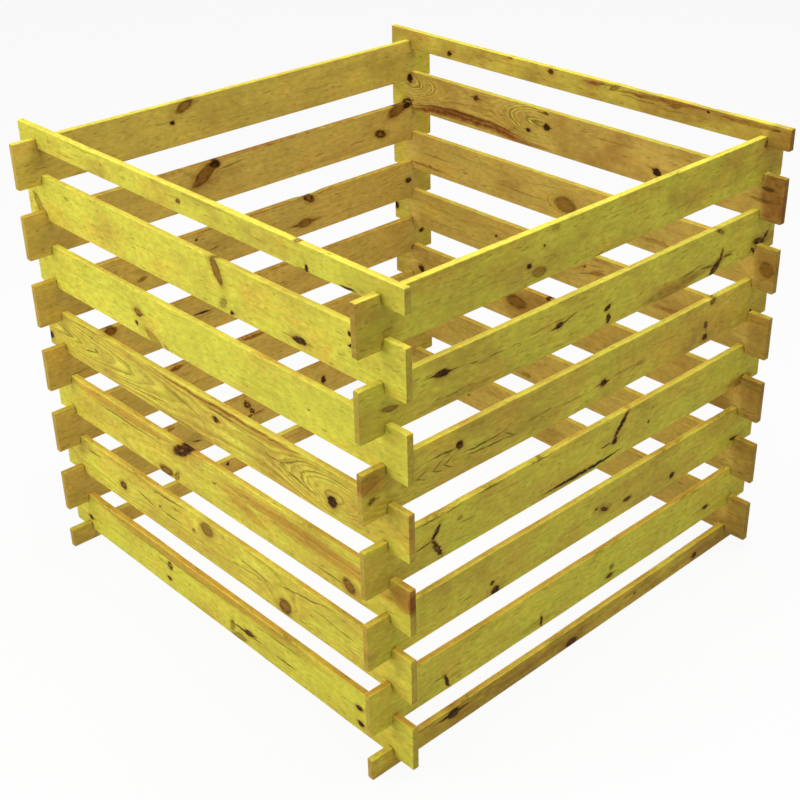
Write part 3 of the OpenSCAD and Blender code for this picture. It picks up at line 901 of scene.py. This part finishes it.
def board_mesh(height, lower_notches, upper_notches, timber):
    """A board along X from Z = 0 up, notched near both ends, with eased edges, as a fine bmesh."""
    half_length, half_thickness = LENGTH / 2, THICKNESS / 2
    half_notch = (THICKNESS + timber.notch_play) / 2
    notch_sides = [side * NOTCH_CENTRE + edge * half_notch for side in (-1, 1) for edge in (-1, 1)]
    near_end = [side * (half_length - inset) for side in (-1, 1) for inset in END_POINTS]
    along = stations(near_end + notch_sides, timber.station)
    near_edge = [*EDGE_POINTS, NOTCH_DEPTH]
    up = stations(near_edge + [height - inset for inset in near_edge], timber.station)
    deep = [-half_thickness, -half_thickness / 3, half_thickness / 3, half_thickness]

    def solid(i, j):
        """Whether the grid cell from station i, j upwards is wood."""
        if not (0 <= i < len(along) - 1 and 0 <= j < len(up) - 1):
            return False
        x, z = (along[i] + along[i + 1]) / 2, (up[j] + up[j + 1]) / 2
        in_notch = abs(abs(x) - NOTCH_CENTRE) < half_notch
        low = lower_notches and z < NOTCH_DEPTH
        high = upper_notches and z > height - NOTCH_DEPTH
        return not (in_notch and (low or high))

    mesh = bmesh.new()
    made = {}

    def vertex(i, j, k):
        """The mesh point at a station along, up and through the board."""
        key = (i, j, k)
        if key not in made:
            made[key] = mesh.verts.new((along[i], deep[k], up[j]))
        return made[key]

    last = len(deep) - 1
    for i in range(len(along) - 1):
        for j in range(len(up) - 1):
            if not solid(i, j):
                continue
            ring = [(i, j), (i + 1, j), (i + 1, j + 1), (i, j + 1)]
            mesh.faces.new([vertex(*corner, 0) for corner in ring])
            mesh.faces.new([vertex(*corner, last) for corner in reversed(ring)])
            beside = [(i, j - 1), (i + 1, j), (i, j + 1), (i - 1, j)]
            for side, cell in enumerate(beside):
                if solid(*cell):
                    continue
                start, end = ring[side], ring[(side + 1) % 4]
                for k in range(last):
                    mesh.faces.new([vertex(*end, k), vertex(*start, k), vertex(*start, k + 1),
                                    vertex(*end, k + 1)])
    mesh.normal_update()
    sharp = [edge for edge in mesh.edges if edge.calc_face_angle_signed() > EASED_ANGLE]
    bmesh.ops.bevel(mesh, geom=sharp, offset=timber.arris, segments=3, profile=0.5, affect="EDGES",
                    clamp_overlap=True)
    return mesh


def smooth_step(value, low, high):
    """0 below low, 1 above high, with an even curve between them."""
    share = min(1.0, max(0.0, (value - low) / (high - low)))
    return share * share * (3 - 2 * share)


def weather_board(mesh, height, name, timber):
    """Bends a straight board mesh a little, rounds its corners, and keeps its straight coordinates."""
    chance = random.Random("shape of " + name)
    bow = chance.uniform(-1, 1) * timber.bow
    crook = chance.uniform(-0.6, 0.6) * timber.bow
    corners = {(x, z): chance.uniform(*KNOCKED) * MM for x in (-1, 1) for z in (-1, 1)}
    shift = Vector([chance.uniform(0, 50) for _ in range(3)])
    straight = mesh.verts.layers.float_vector.new("board_point")
    edges = mesh.verts.layers.float_vector.new("board_edges")
    grounded = "ground" in name
    for vert in mesh.verts:
        vert[straight] = vert.co
        x, y, z = vert.co
        on_top = smooth_step(z, height - TOP_FADE[0], height - TOP_FADE[1])
        waned = 0.0
        side, level = (1 if x > 0 else -1), (1 if z > height / 2 else -1)
        # Saw-cut corners are knocked round
        radius = corners[side, level]
        over_x = abs(x) - (LENGTH / 2 - radius)
        over_z = (z - (height - radius)) if level > 0 else (radius - z)
        if over_x > 0 and over_z > 0:
            reach = math.hypot(over_x, over_z)
            if reach > radius:
                x -= side * over_x * (1 - radius / reach)
                z -= level * over_z * (1 - radius / reach)
        # Wane takes the top edge down, most on the outer face, which it also takes in by half as much
        for mark in WANES.get(name, []):
            share = 1 - smooth_step(abs(x - mark.x), 0.3 * mark.half_length, mark.half_length)
            if share > 0 and abs(abs(x) - NOTCH_CENTRE) > WANE_CLEAR:
                rough = 0.8 + 0.9 * noise.noise(Vector((x * WANE_WAVES, 0, 0)) + shift)
                near_top = smooth_step(z, height - WANE_DROP, height)
                outward = smooth_step(-y, -THICKNESS / 2, THICKNESS / 2)
                z -= mark.depth * share * rough * near_top * (0.35 + 0.65 * outward)
                y += 0.5 * mark.depth * share * rough * near_top * outward
                waned = max(waned, share * near_top * (0.4 + 0.6 * outward))
        # Planed faces are never quite flat; the seats in the notches stay true
        free = smooth_step(abs(abs(x) - NOTCH_CENTRE), *SEAT_CLEAR)
        waves = Vector([metres * per_metre for metres, per_metre in zip((x, y, z), RIPPLE_WAVES)])
        ripple = noise.noise(waves + shift) * RIPPLE * MM * free
        bend = 1 - (x / NOTCH_CENTRE) ** 2
        rise = smooth_step(z, 0, FOOT) if grounded else 1.0
        vert[edges] = (on_top, waned, 0.0)
        vert.co = (x, y + bow * bend + ripple, z + (ripple * 0.5 - abs(crook) * bend) * rise)


def tone_of(name):
    """The tone of a board's timber; boards without one of their own get a middling one by chance."""
    chance = random.Random("tone of " + name)
    return TIMBERS.get(name) or Timber(chance.uniform(0.4, 0.7), chance.uniform(0, 0.15),
                                       chance.uniform(0.1, 0.3), chance.uniform(0.3, 0.7))


def growth_of(name, height):
    """How a board lay in its log, by chance for boards without a figure of their own."""
    chance = random.Random("growth of " + name)
    side = -1 if name.startswith(("back", "left")) else 1
    return GROWTHS.get(name) or growth(side * chance.uniform(40, 80),
                                       chance.uniform(0.1, 0.9) * height / MM,
                                       chance.uniform(-0.02, 0.02), 0, chance.uniform(-0.05, 0.05),
                                       chance.uniform(3.8, 6.0))


def add_board(context, name):
    """Builds the timber board that stands for a node of the frame and puts it in that node's place."""
    timber = context.scene.compost_bin_timber
    wall = name.split("_")[0]
    low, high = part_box(name)
    height = high.z - low.z
    shape = board_mesh(height, "ground" not in name, "top" not in name, timber)
    weather_board(shape, height, name, timber)
    mesh = bpy.data.meshes.new(name + "_timber")
    shape.to_mesh(mesh)
    shape.free()
    middle = (low + high) / 2
    turn = Matrix.Rotation(TURNS[wall] * math.pi / 2, 4, "Z")
    mesh.transform(Matrix.Translation((middle.x, middle.y, low.z)) @ turn)
    mesh.shade_smooth()
    mesh.set_sharp_from_angle(angle=SHARP_ANGLE)
    mesh.materials.append(treated_pine(timber, name, height))
    piece = bpy.data.objects.new(name + "_timber", mesh)
    context.scene.collection.objects.link(piece)
    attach(piece, frame["nodes"][name]["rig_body"])
    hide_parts(name)
    return piece


class COMPOSTBIN_OT_ground_half_boards(bpy.types.Operator):
    """Add the two half boards that the bin stands on."""

    bl_idname = "compost_bin.ground_half_boards"
    bl_label = "Ground half boards"

    def execute(self, context):
        for wall in ("left", "right"):
            add_board(context, wall + "_ground_half_board")
        return {"FINISHED"}


class COMPOSTBIN_OT_wall_boards(bpy.types.Operator):
    """Add the full boards of the four walls, course by course."""

    bl_idname = "compost_bin.wall_boards"
    bl_label = "Wall boards"

    def execute(self, context):
        for row in range(1, ROWS + 1):
            for wall in ("front", "back", "left", "right"):
                add_board(context, f"{wall}_board_{row}")
        return {"FINISHED"}


class COMPOSTBIN_OT_top_half_boards(bpy.types.Operator):
    """Add the two half boards that finish the front and back walls."""

    bl_idname = "compost_bin.top_half_boards"
    bl_label = "Top half boards"

    def execute(self, context):
        for wall in ("front", "back"):
            add_board(context, wall + "_top_half_board")
        return {"FINISHED"}


def add_lamp(context, name, place, aim, size, power):
    """A large square area lamp at a place, aimed at a point."""
    data = bpy.data.lights.new(name, "AREA")
    data.shape = "SQUARE"
    data.size = size
    data.energy = power
    lamp = bpy.data.objects.new(name, data)
    lamp.location = place
    lamp.rotation_euler = (Vector(aim) - Vector(place)).to_track_quat("-Z", "Y").to_euler()
    lamp.visible_camera = False
    context.scene.collection.objects.link(lamp)
    return lamp


def seen_directly(add):
    """Node that is 1 for what the camera, a reflection or clear glass looks at, and 0 for lighting."""
    path = add("LightPath").outputs
    mirrored = add("Math MAXIMUM", {0: path["Is Camera Ray"], 1: path["Is Glossy Ray"]})
    return add("Math MAXIMUM", {0: mirrored, 1: path["Is Transmission Ray"]})


def floor_paint(studio):
    """Matt floor paint, rolled: pale and even, lifted towards white where it is looked at."""
    material = bpy.data.materials.new("floor_paint_matt")
    add = empty_tree(material)
    paint = add("BsdfDiffuse", {"Color": (*studio.floor, 1)})
    white = add("Emission", {"Color": (1, 1, 1, 1), "Strength": 1.0})
    lift = add("Math MULTIPLY", {0: seen_directly(add), 1: 0.92})
    surface = add("MixShader", {0: lift, 1: paint, 2: white})
    add("OutputMaterial", {0: surface})
    return material


class COMPOSTBIN_OT_studio(bpy.types.Operator):
    """Add the floor, the even sky, the soft lamps and the camera."""

    bl_idname = "compost_bin.studio"
    bl_label = "Studio"

    def execute(self, context):
        studio = context.scene.compost_bin_studio
        reach = 14.0
        mesh = bpy.data.meshes.new("studio_floor")
        mesh.from_pydata([(-reach, -reach, 0), (reach, -reach, 0), (reach, reach, 0), (-reach, reach, 0)],
                         [], [(0, 1, 2, 3)])
        mesh.materials.append(floor_paint(studio))
        floor = bpy.data.objects.new("studio_floor", mesh)
        floor.location.z = -0.1 * MM
        context.scene.collection.objects.link(floor)

        world = bpy.data.worlds.new("studio_sky")
        add = empty_tree(world)
        strength = add("Mix", {"data_type": "FLOAT", 2: studio.sky, 3: 1.0, "Factor": seen_directly(add)})
        sky = add("Background", {"Color": (1, 1, 1, 1), "Strength": strength})
        add("OutputWorld", {0: sky})
        context.scene.world = world

        aim = (0.0, 0.0, 0.4)
        add_lamp(context, "key_lamp", place=(-1.2, -3.4, 1.6), aim=aim, size=2.6, power=studio.key_power)
        add_lamp(context, "top_lamp", place=(0.5, 0.1, 3.5), aim=aim, size=2.8, power=studio.top_power)

        data = bpy.data.cameras.new("camera")
        data.sensor_width = 36.0
        data.lens = studio.lens
        data.shift_x = studio.shift_x
        data.shift_y = studio.shift_y
        camera = bpy.data.objects.new("camera", data)
        back = Vector((math.sin(studio.azimuth) * math.cos(studio.elevation),
                       -math.cos(studio.azimuth) * math.cos(studio.elevation),
                       math.sin(studio.elevation)))
        level = Vector((math.cos(studio.azimuth), math.sin(studio.azimuth), 0.0))
        rise = back.cross(level)
        right = math.cos(studio.roll) * level + math.sin(studio.roll) * rise
        up = back.cross(right)
        turn = Matrix((right, up, back)).transposed().to_4x4()
        camera.matrix_world = Matrix.Translation(studio.eye) @ turn
        context.scene.collection.objects.link(camera)
        context.scene.camera = camera
        context.scene.view_settings.view_transform = "Standard"
        return {"FINISHED"}


class COMPOSTBIN_PT_sidebar(bpy.types.Panel):
    """Sidebar with the bin's pieces and settings."""

    bl_idname = "COMPOSTBIN_PT_sidebar"
    bl_label = "Compost Bin"
    bl_space_type = "VIEW_3D"
    bl_region_type = "UI"
    bl_category = "Compost Bin"

    def draw(self, context):
        for operator in OPERATORS:
            self.layout.operator(operator.bl_idname)
        for settings in (context.scene.compost_bin_timber, context.scene.compost_bin_studio):
            box = self.layout.box()
            for name in settings.bl_rna.properties.keys():
                if name not in ("rna_type", "name"):
                    box.prop(settings, name)


OPERATORS = (
    COMPOSTBIN_OT_ground_half_boards,
    COMPOSTBIN_OT_wall_boards,
    COMPOSTBIN_OT_top_half_boards,
    COMPOSTBIN_OT_studio,
)
CLASSES = (BinTimberSettings, BinStudioSettings, *OPERATORS, COMPOSTBIN_PT_sidebar)


def register():
    """Registers the classes and gives every scene its settings."""
    for cls in CLASSES:
        bpy.utils.register_class(cls)
    bpy.types.Scene.compost_bin_timber = PointerProperty(type=BinTimberSettings)
    bpy.types.Scene.compost_bin_studio = PointerProperty(type=BinStudioSettings)


def unregister():
    """Takes the settings and classes away again."""
    del bpy.types.Scene.compost_bin_studio
    del bpy.types.Scene.compost_bin_timber
    for cls in reversed(CLASSES):
        bpy.utils.unregister_class(cls)


def main():
    """Builds the whole bin and its studio."""
    register()
    bpy.ops.compost_bin.studio()
    bpy.ops.compost_bin.ground_half_boards()
    bpy.ops.compost_bin.wall_boards()
    bpy.ops.compost_bin.top_half_boards()


if __name__ == "__main__":
    main()
